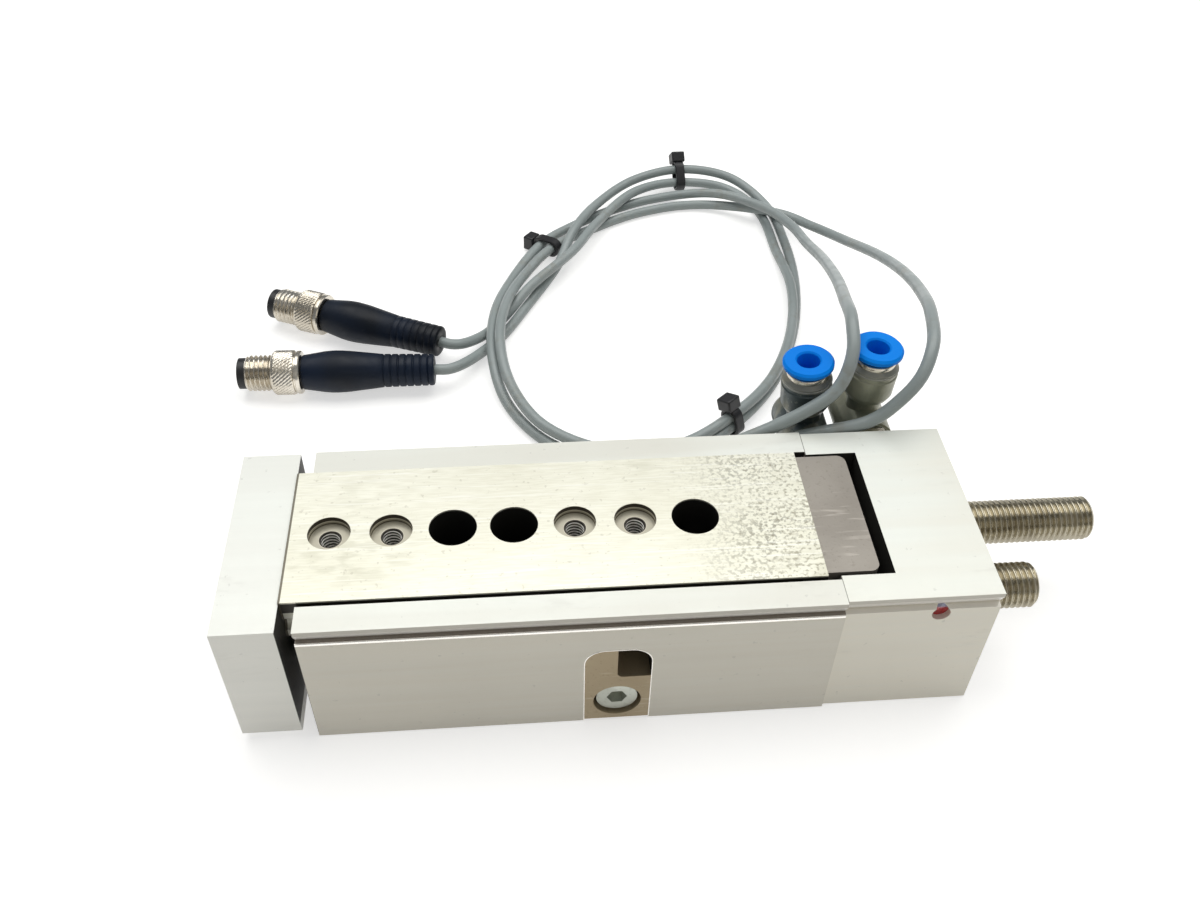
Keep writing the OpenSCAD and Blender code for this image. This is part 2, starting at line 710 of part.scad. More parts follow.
// Metal sleeve that holds the collet in the socket
module elbow_sleeve(i) {
    color("silver") elbow_frame(i) difference() {
        translate([0, 0, 8]) cylinder(r = sleeve_r, h = sleeve_top - 8);
        translate([0, 0, 7]) cylinder(r = 2.75, h = elbow_h);
    }
}

module elbow_a_sleeve() { elbow_sleeve(0); }
module elbow_b_sleeve() { elbow_sleeve(1); }

// Blue release ring with the collet tube under it
module elbow_ring(i) {
    t = elbow_h;
    color("dodgerblue") elbow_frame(i) rotate_extrude() polygon([
        [2.1, t - 7], [2.65, t - 7], [2.65, t - ring_t], [socket_r - 0.4, t - ring_t], [socket_r, t - ring_t + 0.4],
        [socket_r, t - 0.4], [socket_r - 0.4, t], [2.4, t], [2.1, t - 0.3]]);
}

module elbow_a_ring() { elbow_ring(0); }
module elbow_b_ring() { elbow_ring(1); }

// ---------- sensors, cables and plugs ----------

module sensor(i) {
    color("black") {
        x_rod(sensor_x[i], sensor_x[i] + sensor_l, slot_y, slot_z, sensor_r);
        span([sensor_x[i], slot_y, slot_z - 1.25], [sensor_x[i] + sensor_l, slot_y + 2, slot_z + 1.25]);
    }
}

module sensor_a() { sensor(0); }
module sensor_b() { sensor(1); }

// Tube of eight sides along a route: one ring of points at every route point
function unit(v) = v / norm(v);
function heading(p, i) = unit(p[min(i + 1, len(p) - 1)] - p[max(i - 1, 0)]);
function ring_point(p, i, a, r) =
    let (t = heading(p, i), side = unit(cross(t, [0, 0, 1])), up = cross(side, t))
    p[i] + r * (cos(a) * side + sin(a) * up);

module tube(route, r) {
    sides = 8;
    n = len(route);
    points = [for (i = [0:n - 1], k = [0:sides - 1]) ring_point(route, i, 360 * k / sides, r)];
    walls = [for (i = [0:n - 2], k = [0:sides - 1])
        [i * sides + k, i * sides + (k + 1) % sides, (i + 1) * sides + (k + 1) % sides, (i + 1) * sides + k]];
    ends = [[for (k = [sides - 1:-1:0]) k], [for (k = [0:sides - 1]) (n - 1) * sides + k]];
    polyhedron(points = points, faces = concat(walls, ends));
}

module cable_a() { color("gray") tube(cable_a_route, cable_r); }
module cable_b() { color("gray") tube(cable_b_route, cable_r); }

// Frame of a plug: its face at the origin, its axis along +X, lying on its nut
module plug_frame(i) {
    translate([plug_pose[i][0], plug_pose[i][1], knurl_r]) rotate([0, 0, plug_pose[i][2]]) rotate([0, 90, 0]) children();
}

// Overmould with its waist and the ribbed strain relief
module plug_body(i) {
    color("black") plug_frame(i) rotate_extrude() polygon([
        [0, 13.8], [3.8, 13.8], [3.95, 15], [4.5, 18.5], [4.65, 21], [4.5, 24], [4, 28.5], [3.7, 31], [3.5, 33],
        [3.5, 41.9], [3.1, plug_l], [0, plug_l]]);
}

module plug_insert(i) {
    color("black") plug_frame(i) difference() {
        cylinder(r = 3.4, h = 13.7);
        translate([0, 0, -1]) cylinder(r = 2.7, h = 5.5);
        pins(pin_r + running_fit);
    }
}

// Three contact pins that stand in the open mouth of the insert
module pins(r) {
    for (a = [90, 210, 330]) rotate([0, 0, a]) translate([1.5, 0, 1.2]) cylinder(r = r, h = 8);
}

module plug_pins(i) {
    color("gold") plug_frame(i) pins(pin_r);
}

// Coupling nut: M8 thread in front of the knurled grip
module plug_nut(i) {
    color("silver") plug_frame(i) rotate_extrude() polygon([
        [3.45, 1.7], [3.7, 1.7], [3.95, 2.1], [3.95, 6.9], [4.3, 7.1], [knurl_r - 0.5, 7.3], [knurl_r, 8],
        [knurl_r, 12.2], [knurl_r - 0.5, 12.8], [knurl_r - 0.5, 13.6], [3.45, 13.6]]);
}

module plug_a_body() { plug_body(1); }
module plug_a_insert() { plug_insert(1); }
module plug_a_nut() { plug_nut(1); }
module plug_b_body() { plug_body(0); }
module plug_b_insert() { plug_insert(0); }
module plug_b_nut() { plug_nut(0); }
module plug_a_pins() { plug_pins(1); }
module plug_b_pins() { plug_pins(0); }

// Ties round both cables, each at one point of either route
module cable_ties() {
    for (t = tie_points) color("black") tie(cable_a_route, t[0], cable_b_route, t[1], t[2]);
}

module tie(p, i, q, j, side) {
    along = unit(heading(p, i) + heading(q, j));
    apart = q[j] - p[i];
    across = unit(apart - (apart * along) * along);
    normal = cross(along, across);
    gap = apart * across;
    middle = (p[i] + q[j]) / 2;
    multmatrix([[along[0], across[0], normal[0], middle[0]], [along[1], across[1], normal[1], middle[1]],
        [along[2], across[2], normal[2], middle[2]]]) {
        along_x(-tie_w / 2, tie_w / 2) difference() {
            strap(gap, cable_r + tie_gap + tie_t);
            strap(gap, cable_r + tie_gap);
        }
        span([-tie_w / 2 - 0.6, side * (gap / 2 + cable_r + tie_gap + 1.6) - 1.4, -1.6],
            [tie_w / 2 + 0.6, side * (gap / 2 + cable_r + tie_gap + 1.6) + 1.4, 2]);
    }
}

module strap(gap, r) {
    for (s = [-1, 1]) translate([s * gap / 2, 0]) circle(r = r);
    translate([-gap / 2, -r]) square([gap, 2 * r]);
}

housing();
rear_block();
guide_rails();
rod_bearings();
rod_wipers();
fixed_stop();
fixed_stop_screw();
rear_block_screws();
duct_ball();
sensor_a();
sensor_b();
cable_a();
cable_b();
plug_a_body();
plug_a_insert();
plug_a_nut();
plug_a_pins();
plug_b_body();
plug_b_insert();
plug_b_nut();
plug_b_pins();
cable_ties();
port_studs();
port_seals();
elbow_a();
elbow_a_sleeve();
elbow_a_ring();
elbow_b();
elbow_b_sleeve();
elbow_b_ring();
slide_table();
stop_dog();
stop_dog_screws();
yoke_plate();
yoke_screws();
yoke_dowels();
rod_screws();
piston_rods();
pistons();
piston_seals();
piston_magnets();
ball_cages();
guide_balls();
long_stop_screw();
long_stop_buffer();
short_stop_screw();
short_stop_buffer();
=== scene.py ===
import math
import bpy
from mathutils import Matrix, Vector

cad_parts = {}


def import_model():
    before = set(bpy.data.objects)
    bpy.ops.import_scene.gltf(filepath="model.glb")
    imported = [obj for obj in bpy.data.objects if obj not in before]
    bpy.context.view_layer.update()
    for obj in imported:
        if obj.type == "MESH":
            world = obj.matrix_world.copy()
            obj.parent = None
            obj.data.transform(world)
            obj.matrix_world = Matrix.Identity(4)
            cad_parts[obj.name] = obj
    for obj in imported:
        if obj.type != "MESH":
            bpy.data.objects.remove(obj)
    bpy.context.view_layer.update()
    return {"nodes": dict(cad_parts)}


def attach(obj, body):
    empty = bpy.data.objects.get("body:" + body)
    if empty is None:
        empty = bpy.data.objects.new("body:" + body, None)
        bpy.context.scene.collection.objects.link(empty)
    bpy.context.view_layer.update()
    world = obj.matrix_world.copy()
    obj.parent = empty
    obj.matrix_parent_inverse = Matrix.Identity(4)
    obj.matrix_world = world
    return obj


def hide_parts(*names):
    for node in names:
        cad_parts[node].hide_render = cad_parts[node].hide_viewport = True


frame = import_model()
nodes = frame["nodes"]
scene = bpy.context.scene
scene.view_settings.view_transform = "Standard"
MM = 0.001
TAU = 2 * math.pi

# Places on the object, in mm, that pieces and paints share.
HOUSING_END = 42.7
HOUSING_HALF = 19.5
REAR_HALF = 19
THREADED_X = (-38.75, -28.75, 1.25, 11.25)
ACCESS_X = ((-22.75, -4.75), (17.25, 25.25))
WINDOW_X = (1.6, 12.6)
STOP_Y = 7.3
STOP_Z = 15.6
STOP_PITCH = 1.0
M4_PITCH = 0.7
M4_WALL = 1.65


# ---------- camera ----------

CAMERA_PLACE = (-0.006882, -0.126384, 0.168745)
CAMERA_TURN = Vector((2.3417, -0.0830, 0.0586))  # axis times angle, for a camera whose y points down
SENSOR_WIDTH = 36
FOCAL_LENGTH = 34.2765


def camera():
    rows = Matrix.Rotation(CAMERA_TURN.length, 3, CAMERA_TURN.normalized())
    data = bpy.data.cameras.new("camera")
    data.sensor_width = SENSOR_WIDTH
    data.lens = FOCAL_LENGTH
    data.clip_start = 0.005
    obj = bpy.data.objects.new("camera", data)
    scene.collection.objects.link(obj)
    obj.matrix_world = (Matrix.Translation(CAMERA_PLACE)
                        @ Matrix((rows[0], -rows[1], -rows[2])).transposed().to_4x4())
    scene.camera = obj


camera()


# ---------- materials ----------

def tint(r, g, b):
    """A colour as it is seen, 0 to 255, as the linear colour that the shader takes."""
    return tuple(((c / 255 + 0.055) / 1.055) ** 2.4 if c > 10 else c / 255 / 12.92
                 for c in (r, g, b)) + (1,)


def darker(colour, factor):
    return tuple(c * factor for c in colour[:3]) + (1,)


# Near black, painted as shade inside hollows, gaps and bores.
SHADE_BLACK = (0.004, 0.0035, 0.003, 1)
SHADE = tint(38, 36, 32)


class Finish:
    """A material whose nodes are added one layer after another."""

    def __init__(self, name, colour, rough, metallic=0.0, **sockets):
        self.m = bpy.data.materials.new(name)
        self.m.use_nodes = True
        self.t = self.m.node_tree
        self.shader = self.t.nodes["Principled BSDF"]
        self.shader.inputs["Metallic"].default_value = metallic
        self.shader.inputs["Roughness"].default_value = rough
        self.shader.inputs["Base Color"].default_value = colour
        for key, value in sockets.items():
            self.shader.inputs[key.replace("_", " ")].default_value = value
        self.start_colour, self.start_rough = colour, rough
        self.colour = self.rough = self.normal = None
        self.place = self.t.nodes.new("ShaderNodeTexCoord").outputs["Object"]

    def node(self, kind, **settings):
        n = self.t.nodes.new("ShaderNode" + kind)
        for key, value in settings.items():
            setattr(n, key, value)
        return n

    def noise(self, size, stretch=(1, 1, 1), detail=3, low=0.35, high=0.65,
              rotation=(0, 0, 0), at=(0, 0, 0)):
        """Noise whose features are about size mm across, 0 below low and 1 above high."""
        mapping = self.node("Mapping")
        mapping.inputs["Scale"].default_value = [s / (size * MM) / 3 for s in stretch]
        mapping.inputs["Rotation"].default_value = rotation
        mapping.inputs["Location"].default_value = at
        self.t.links.new(self.place, mapping.inputs["Vector"])
        tex = self.node("TexNoise")
        tex.inputs["Scale"].default_value = 1
        tex.inputs["Detail"].default_value = detail
        self.t.links.new(mapping.outputs[0], tex.inputs["Vector"])
        return self.ramp(tex.outputs["Fac"], low, high)

    def ramp(self, value, low, high):
        """Value, eased from 0 at low to 1 at high."""
        n = self.node("MapRange", clamp=True, interpolation_type="SMOOTHSTEP")
        n.inputs["From Min"].default_value = low
        n.inputs["From Max"].default_value = high
        self.t.links.new(value, n.inputs["Value"])
        return n.outputs["Result"]

    def band(self, axis, low, high):
        """0 at low mm and 1 at high mm along an axis, in either order, and level beyond."""
        sep = self.node("SeparateXYZ")
        self.t.links.new(self.place, sep.inputs[0])
        a, b = min(low, high) * MM, max(low, high) * MM
        n = self.node("MapRange", clamp=True, interpolation_type="SMOOTHSTEP")
        n.inputs["From Min"].default_value = a
        n.inputs["From Max"].default_value = b
        n.inputs["To Min"].default_value = 0 if low < high else 1
        n.inputs["To Max"].default_value = 1 if low < high else 0
        self.t.links.new(sep.outputs["XYZ".index(axis)], n.inputs["Value"])
        return n.outputs["Result"]

    def within(self, axis, low, high, soft=0.02):
        """1 between low and high mm along an axis."""
        return self.both(self.band(axis, low - soft, low + soft), self.band(axis, high + soft, high - soft))

    def either_side(self, low, soft=0.03):
        """1 where the distance from the middle plane is over low mm."""
        return self.math("MAXIMUM", self.band("Y", low - soft, low + soft),
                         self.band("Y", soft - low, -low - soft))

    def paint_shade_in(self, *spans, colour=SHADE_BLACK, amount=0.97):
        """Painted shade, near black unless another colour is given, inside a box given as (axis, low, high)
        spans, with a roughness of 0.55 there.
        """
        mask = self.both(*[self.within(*span) for span in spans])
        self.paint(mask, colour, amount)
        self.polish(mask, 0.55)

    def upward(self, low=0.5, high=0.9):
        """How far the surface faces up, eased between two heights of its normal."""
        geo = self.node("NewGeometry")
        sep = self.node("SeparateXYZ")
        self.t.links.new(geo.outputs["Normal"], sep.inputs[0])
        return self.ramp(sep.outputs["Z"], low, high)

    def radius(self, x, y):
        """Distance in metres from an upright axis at x, y mm."""
        sep = self.node("SeparateXYZ")
        self.t.links.new(self.place, sep.inputs[0])
        dx = self.math("SUBTRACT", sep.outputs["X"], x * MM)
        dy = self.math("SUBTRACT", sep.outputs["Y"], y * MM)
        square = self.math("ADD", self.math("MULTIPLY", dx, dx), self.math("MULTIPLY", dy, dy))
        return self.math("SQRT", square, 0)

    def math(self, operation, a, b):
        n = self.node("Math", operation=operation)
        for socket, v in zip(n.inputs, (a, b)):
            if isinstance(v, (int, float)):
                socket.default_value = v
            else:
                self.t.links.new(v, socket)
        return n.outputs[0]

    def both(self, *masks):
        """1 where all the masks are."""
        value = masks[0]
        for m in masks[1:]:
            value = self.math("MULTIPLY", value, m)
        return value

    def paint(self, mask, colour, amount=1.0):
        """A colour laid over what is there, as far as mask and amount say."""
        mix = self.node("Mix", data_type="RGBA")
        self.t.links.new(self.math("MULTIPLY", mask, amount), mix.inputs["Factor"])
        if self.colour is None:
            mix.inputs["A"].default_value = self.start_colour
        else:
            self.t.links.new(self.colour, mix.inputs["A"])
        mix.inputs["B"].default_value = colour
        self.colour = mix.outputs["Result"]

    def polish(self, mask, rough):
        """Another roughness where the mask is."""
        mix = self.node("Mix", data_type="FLOAT")
        self.t.links.new(mask, mix.inputs["Factor"])
        if self.rough is None:
            mix.inputs["A"].default_value = self.start_rough
        else:
            self.t.links.new(self.rough, mix.inputs["A"])
        mix.inputs["B"].default_value = rough
        self.rough = mix.outputs["Result"]

    def relief(self, mask, height, strength=1.0):
        """Bump of that height in mm."""
        n = self.node("Bump")
        n.inputs["Strength"].default_value = strength
        n.inputs["Distance"].default_value = height * MM
        self.t.links.new(mask, n.inputs["Height"])
        if self.normal is not None:
            self.t.links.new(self.normal, n.inputs["Normal"])
        self.normal = n.outputs["Normal"]

    def done(self):
        """Joins the layers to the shader and gives the material."""
        layers = ((self.colour, "Base Color"), (self.rough, "Roughness"), (self.normal, "Normal"))
        for source, socket in layers:
            if source is not None:
                self.t.links.new(source, self.shader.inputs[socket])
        return self.m


def anodised(name, colour, side=None, groove=None, line=None, seam=None, hollows=(), shaded=()):
    """Drawn and anodised aluminium.

    side is the colour painted on the faces away from the top as shading. groove is the half width of the body
    where a groove runs along it, and line the colour painted on its ledge as shading: painted shade on the
    housing, painted light on the block. seam is the X of a dark joint.
    """
    f = Finish(name, colour, 0.42, 0.2)
    if side:
        # Painted shading: the faces away from the top take the side colour.
        f.paint(f.upward(0.9, 0.5), side)
    cloud = f.noise(14, detail=2)
    streak = f.noise(1.6, (0.05, 1, 1), detail=2, low=0.35, high=0.7)
    grain = f.noise(0.22, detail=2, low=0.3, high=0.7)
    drawn = f.noise(0.35, (0.03, 1, 1), detail=3, low=0.3, high=0.7)
    f.paint(cloud, darker(side or colour, 0.9), 0.4)
    f.paint(streak, darker(side or colour, 0.9), 0.3)
    f.paint(drawn, darker(colour, 0.9), 0.14)
    f.paint(f.noise(0.4, detail=2, low=0.7, high=0.76), tint(150, 150, 142), 0.2)
    scuffs = f.both(f.noise(2.2, (0.35, 1, 1), low=0.58, high=0.74),
                    f.noise(0.4, (0.3, 1, 1), low=0.45, high=0.7))
    f.paint(scuffs, tint(158, 152, 140), 0.13)
    if groove:
        brow = f.both(f.within("Z", 27.6, 28.44, 0.04), f.either_side(groove - 0.3))
        wall = f.both(f.within("Z", 25.95, 27.55, 0.15), f.either_side(groove - 1.2))
        ledge = f.both(f.within("Z", 25.2, 25.64, 0.04), f.either_side(groove - 1.2), f.upward(0.6, 0.8))
        # Painted light and shade along the groove: the brow a darker grey, the wall under the overhang near
        # white as painted light against its shade, the ledge the line colour as painted shading.
        f.paint(brow, tint(190, 186, 176), 0.75)
        f.paint(wall, tint(255, 252, 246), 0.9)
        f.paint(ledge, line, 0.95)
    if seam:
        f.paint(f.band("X", seam + 0.16, seam + 0.08), tint(98, 91, 84), 0.85)
    f.polish(grain, 0.34)
    f.relief(grain, 0.004, 0.5)
    f.relief(drawn, 0.003, 0.4)
    # Painted shade in each hollow.
    for spans in hollows:
        f.paint_shade_in(*spans)
    for spans in shaded:
        f.paint_shade_in(*spans, colour=SHADE, amount=0.94)
    return f.done()


def ground_table():
    """Ground steel, stained towards the right, with turned counterbores in which shade and highlights are
    painted.
    """
    f = Finish("table_ground_steel", tint(234, 233, 219), 0.42, 0.6)
    brushed = f.noise(0.14, (0.12, 1, 1), detail=3, low=0.3, high=0.7)
    cloud = f.noise(9, (0.6, 1, 1), detail=3)
    f.paint(cloud, tint(216, 214, 196), 0.5)
    f.paint(brushed, tint(200, 197, 176), 0.38)
    patches = f.both(f.noise(0.5, (0.35, 1, 1), detail=3, low=0.42, high=0.64, rotation=(0, 0, 0.2)),
                     f.noise(6, (0.6, 1, 1), detail=2, low=0.42, high=0.66, at=(0.4, 0.1, 0)))
    f.paint(patches, tint(186, 184, 164), 0.5)
    right = f.band("X", 14, 40)
    top = f.upward()
    specks = f.both(f.noise(0.26, detail=2, low=0.5, high=0.62),
                    f.noise(5, detail=2, low=0.32, high=0.6), right, top)
    f.paint(specks, tint(98, 94, 78), 0.72)
    f.paint(f.both(f.noise(0.22, detail=2, low=0.5, high=0.66), right, top), tint(126, 120, 98), 0.62)
    f.paint(f.both(f.noise(0.3, detail=2, low=0.64, high=0.72), top), tint(150, 144, 124), 0.3)
    scratches = f.noise(0.12, (0.02, 1, 1), detail=1, low=0.62, high=0.68, rotation=(0, 0, 0.06))
    f.paint(scratches, tint(245, 245, 240), 0.35)
    f.polish(brushed, 0.36)
    f.relief(brushed, 0.003, 0.5)
    for x in THREADED_X:  # counterbore: painted shadow, highlight and shade bands on its wall, then a painted highlight on its floor's rim and painted shade in the bore
        away = f.radius(x, 0)
        inside = f.both(f.band("Z", 28.94, 28.86), f.ramp(away, 3.7 * MM, 3.6 * MM))
        wall = f.both(inside, f.ramp(away, 3.38 * MM, 3.44 * MM))
        # The counterbore's inside is painted grey as shade.
        f.paint(inside, tint(172, 167, 150), 0.9)
        f.paint(f.both(wall, f.band("Z", 28.1, 28.16)), tint(52, 44, 36), 0.95)
        f.paint(f.both(wall, f.within("Z", 27.92, 28.08, 0.03)), tint(226, 222, 208), 0.9)
        f.paint(f.both(wall, f.band("Z", 27.62, 27.56)), tint(104, 98, 84), 0.9)
        rim = f.both(inside, f.ramp(away, 1.96 * MM, 1.92 * MM), f.ramp(away, 1.84 * MM, 1.88 * MM))
        f.paint(rim, tint(214, 208, 192), 0.8)
        f.paint(f.both(inside, f.ramp(away, 1.88 * MM, 1.84 * MM)), tint(40, 35, 30), 0.95)
    # Painted shade, near black, down the access bores.
    for low, high in ACCESS_X:
        f.paint_shade_in(("X", low, high), ("Y", -4, 4), ("Z", 20, 28.7))
    # The side faces under the top edge are painted near black as shade.
    f.paint(f.both(f.either_side(13.8), f.band("Z", 28.8, 28.6)), tint(26, 24, 20), 0.95)
    f.paint(f.band("X", -44.96, -45.02), tint(92, 86, 72), 0.9)
    return f.done()


def tapped_steel():
    """Threads in the table's holes: near-white crests as painted highlights and near-black roots as painted
    shade.
    """
    # The near-black base is painted shade in the thread's roots.
    f = Finish("tapped_thread", tint(34, 30, 26), 0.35)
    # The crests, within 1.53 mm of each hole's axis, are painted near white as highlights.
    for x in THREADED_X:
        f.paint(f.ramp(f.radius(x, 0), 1.56 * MM, 1.51 * MM), tint(255, 253, 246))
    f.paint(f.noise(0.6, detail=2, low=0.55, high=0.7), tint(150, 140, 120), 0.3)
    f.polish(f.noise(0.5, detail=2), 0.3)
    return f.done()


def sintered(name, colour, dark, light, hidden_from=None):
    """Blotched grey sintered metal, painted near black as shade behind the Y that hidden_from gives."""
    f = Finish(name, colour, 0.5, 0.45)
    f.paint(f.noise(5, detail=3), dark, 0.35)
    f.paint(f.noise(0.2, detail=2, low=0.6, high=0.72), dark, 0.4)
    f.paint(f.both(f.noise(0.25, (0.12, 1, 1), detail=2, low=0.56, high=0.7, rotation=(0, 0, 0.5)),
                   f.noise(4, low=0.5, high=0.65, at=(0.3, 0.7, 0))), light, 0.5)
    f.polish(f.noise(3), 0.38)
    f.relief(f.noise(0.2, detail=2), 0.006, 0.6)
    # The part inside the channel is painted near black as shade.
    if hidden_from:
        f.paint_shade_in(("Y", hidden_from, 13), ("Z", 12.6, 30))
    return f.done()


def steel(name, colour, rough=0.3, dark=None, metallic=1.0, marks=0.35, bump=0.004):
    """Bare or plated metal with darker clouds and fine marks."""
    f = Finish(name, colour, rough, metallic)
    dark = dark or darker(colour, 0.6)
    f.paint(f.noise(2.5, detail=3), dark, marks * 1.2)
    f.paint(f.noise(0.3, detail=2, low=0.55, high=0.75), dark, marks)
    f.polish(f.noise(0.6, detail=2), min(1, rough + 0.12))
    f.relief(f.noise(0.3, detail=2), bump, 0.5)
    return f.done()


def moulded(name, colour, rough, light=None, size=0.25, grime=0.0, **sockets):
    """Plastic or rubber with a lighter cloud, a grain of size mm, and grime where it is asked for."""
    f = Finish(name, colour, rough, 0.0, **sockets)
    light = light or tuple(min(1, c * 1.35 + 0.004) for c in colour[:3]) + (1,)
    f.paint(f.noise(6, detail=2), light, 0.4)
    if grime:
        f.paint(f.both(f.noise(3, detail=3, low=0.5, high=0.7), f.noise(0.5, low=0.4, high=0.65)),
                tint(128, 118, 96), grime)
    f.polish(f.noise(1.2, detail=2), min(1, rough + 0.12))
    f.relief(f.noise(size, detail=2), 0.01, 0.35)
    return f.done()


def cast_zinc(name, colour, dark, patina_and_highlight, crown):
    """Dull cast zinc, lighter above the Z that crown gives, with pale patches that are partly patination and
    partly painted highlights.
    """
    f = Finish(name, colour, 0.42, 0.35)
    f.paint(f.noise(3, detail=3), dark, 0.7)
    f.paint(f.band("Z", crown - 0.1, crown + 0.1), tint(148, 147, 138), 0.75)
    # Pale patches, partly patination and partly painted highlights.
    f.paint(f.both(f.noise(1.2, (1, 1, 0.25), detail=3, low=0.5, high=0.66), f.noise(4, low=0.4, high=0.6)),
            tint(176, 170, 146), patina_and_highlight)
    f.paint(f.noise(0.18, detail=2, low=0.6, high=0.7), tint(140, 142, 132), 0.5)
    f.polish(f.noise(0.8, detail=2), 0.3)
    f.relief(f.noise(0.35, detail=3), 0.02, 0.5)
    return f.done()


# Each finish's second colour is painted shading of its faces away from the top.
ALU = anodised("natural_anodised_housing", tint(239, 241, 233), tint(224, 219, 205),
               # line: painted shade on the groove's ledge.
               groove=HOUSING_HALF, line=tint(138, 128, 118),
               # hollows: painted shade in the channel and behind the window.
               hollows=[(("Y", -14.56, 14.56), ("Z", 0.3, 28.45)),
                        (("X", 1.5, 12.7), ("Y", -19.15, -12), ("Z", 0.2, 19.8))],
               shaded=[(("X", -43, -HOUSING_END), ("Z", 1.5, 28.4))])
REAR = anodised("natural_anodised_block", tint(240, 243, 235), tint(242, 237, 222),
                # line: painted light on the groove's ledge, against the overhang's shade.
                groove=REAR_HALF, line=tint(238, 233, 222), seam=42.75,
                # hollows: painted shade in the pocket round the dog.
                hollows=[(("X", 42.8, 51.68), ("Y", -13.8, 13.8), ("Z", 10.2, 28.45))])
YOKE = anodised("natural_anodised_plate", tint(242, 244, 237), tint(243, 242, 234),
                shaded=[(("X", -45.4, -45), ("Z", 4, 28.4))])
PISTON = anodised("turned_piston", tint(200, 202, 200))
TABLE = ground_table()
DOG = sintered("sintered_dog", tint(155, 149, 140), tint(130, 123, 114), tint(204, 196, 186))
STOP = sintered("sintered_stop", tint(178, 162, 132), tint(138, 121, 94), tint(206, 196, 172),
                hidden_from=-12.9)
SCREW = steel("zinc_screw", tint(190, 190, 184), 0.3)
BRIGHT = steel("nickel_bright", tint(222, 216, 204), 0.16, tint(150, 138, 116))
THREAD = steel("stop_screw_nickel", tint(182, 175, 156), 0.2, tint(112, 100, 80),
               marks=0.2, bump=0.001)
LIP = steel("groove_edge", tint(255, 252, 246), 0.2, tint(226, 222, 212), metallic=0.95, marks=0.12)
PALE = steel("pale_screw_head", tint(214, 218, 208), 0.42, tint(160, 160, 148), metallic=0.7)
GUIDE = steel("guide_steel", tint(150, 150, 146), 0.32)
ROD = steel("rod_chrome", tint(210, 212, 214), 0.12)
BRONZE = steel("sintered_bronze", tint(170, 132, 84), 0.45, tint(120, 88, 50))
MAGNET = steel("magnet_sinter", tint(70, 70, 70), 0.5)
GOLD = steel("contact_gold", tint(226, 184, 100), 0.2)
RUBBER = moulded("seal_rubber", tint(34, 34, 34), 0.6)
BUFFER = moulded("buffer_rubber", tint(60, 56, 46), 0.55)
TAPPED = tapped_steel()
SENSOR = moulded("sensor_case", tint(42, 43, 46), 0.45)
# The plug's lighter blue cloud is a painted sheen.
PLUG = moulded("plug_moulding", tint(3, 9, 18), 0.42, tint(10, 36, 66), size=0.2,
               Specular_IOR_Level=0.28)
INSERT = moulded("insert_black", tint(20, 21, 24), 0.4)
TIE = moulded("tie_nylon", tint(24, 24, 27), 0.34)
CAGE = moulded("cage_plastic", tint(190, 180, 150), 0.45)
RING = moulded("ring_blue", tint(0, 132, 240), 0.4, tint(0, 144, 248), size=0.4,
               Specular_IOR_Level=0.12)
CABLE = moulded("cable_sheath", tint(150, 159, 158), 0.3, tint(170, 178, 178), size=0.5, grime=0.3)
# The two elbows share one cast zinc: elbow a's copy is painted darker as shade, elbow b's paler as light.
ZINC_A = cast_zinc("cast_zinc_shaded_copy", tint(78, 88, 89), tint(58, 70, 72), patina_and_highlight=0.4, crown=33.4)
ZINC_B = cast_zinc("cast_zinc_lit_copy", tint(154, 154, 134), tint(116, 122, 106), patina_and_highlight=0.95, crown=36)


def lacquer():
    """Red sealing lacquer with grey metal showing above it."""
    f = Finish("sealing_lacquer", tint(72, 72, 98), 0.2, 0.35, Coat_Weight=0.6)
    f.paint(f.noise(0.7, low=0.5, high=0.6), tint(150, 152, 176), 0.7)
    red = f.band("Z", 24.9, 24.3)
    f.paint(red, tint(186, 34, 32), 0.95)
    # White flecks on the red are painted highlights.
    f.paint(f.both(red, f.noise(0.5, (1, 1, 2), low=0.58, high=0.66, at=(0.2, 0, 0))),
            tint(236, 226, 226), 0.8)
    f.relief(f.noise(0.5), 0.06, 0.8)
    return f.done()


LACQUER = lacquer()

for name, material in {
        "housing": ALU, "rear_block": REAR, "yoke_plate": YOKE, "slide_table": TABLE, "stop_dog": DOG,
        "fixed_stop": STOP, "fixed_stop_screw": PALE, "guide_rails": GUIDE, "rod_bearings": BRONZE,
        "rod_wipers": RUBBER, "rear_block_screws": SCREW, "duct_ball": LACQUER, "sensor_a": SENSOR,
        "sensor_b": SENSOR, "plug_a_insert": INSERT, "plug_b_insert": INSERT, "plug_a_pins": GOLD,
        "plug_b_pins": GOLD, "port_studs": BRIGHT, "port_seals": RUBBER, "elbow_a": ZINC_A, "elbow_b": ZINC_B,
        "elbow_a_sleeve": BRIGHT, "elbow_b_sleeve": BRIGHT, "elbow_a_ring": RING, "elbow_b_ring": RING,
        "stop_dog_screws": SCREW, "yoke_screws": SCREW, "yoke_dowels": GUIDE, "rod_screws": SCREW,
        "piston_rods": ROD, "pistons": PISTON, "piston_seals": RUBBER, "piston_magnets": MAGNET,
        "ball_cages": CAGE, "guide_balls": ROD, "long_stop_screw": THREAD, "short_stop_screw": THREAD,
        "long_stop_buffer": BUFFER, "short_stop_buffer": BUFFER, "cable_a": CABLE, "cable_b": CABLE,
        "plug_a_body": PLUG, "plug_b_body": PLUG, "plug_a_nut": BRIGHT, "plug_b_nut": BRIGHT,
        "cable_ties": TIE}.items():
    mesh = nodes[name].data
    mesh.materials.clear()
    mesh.materials.append(material)


# ---------- building ----------

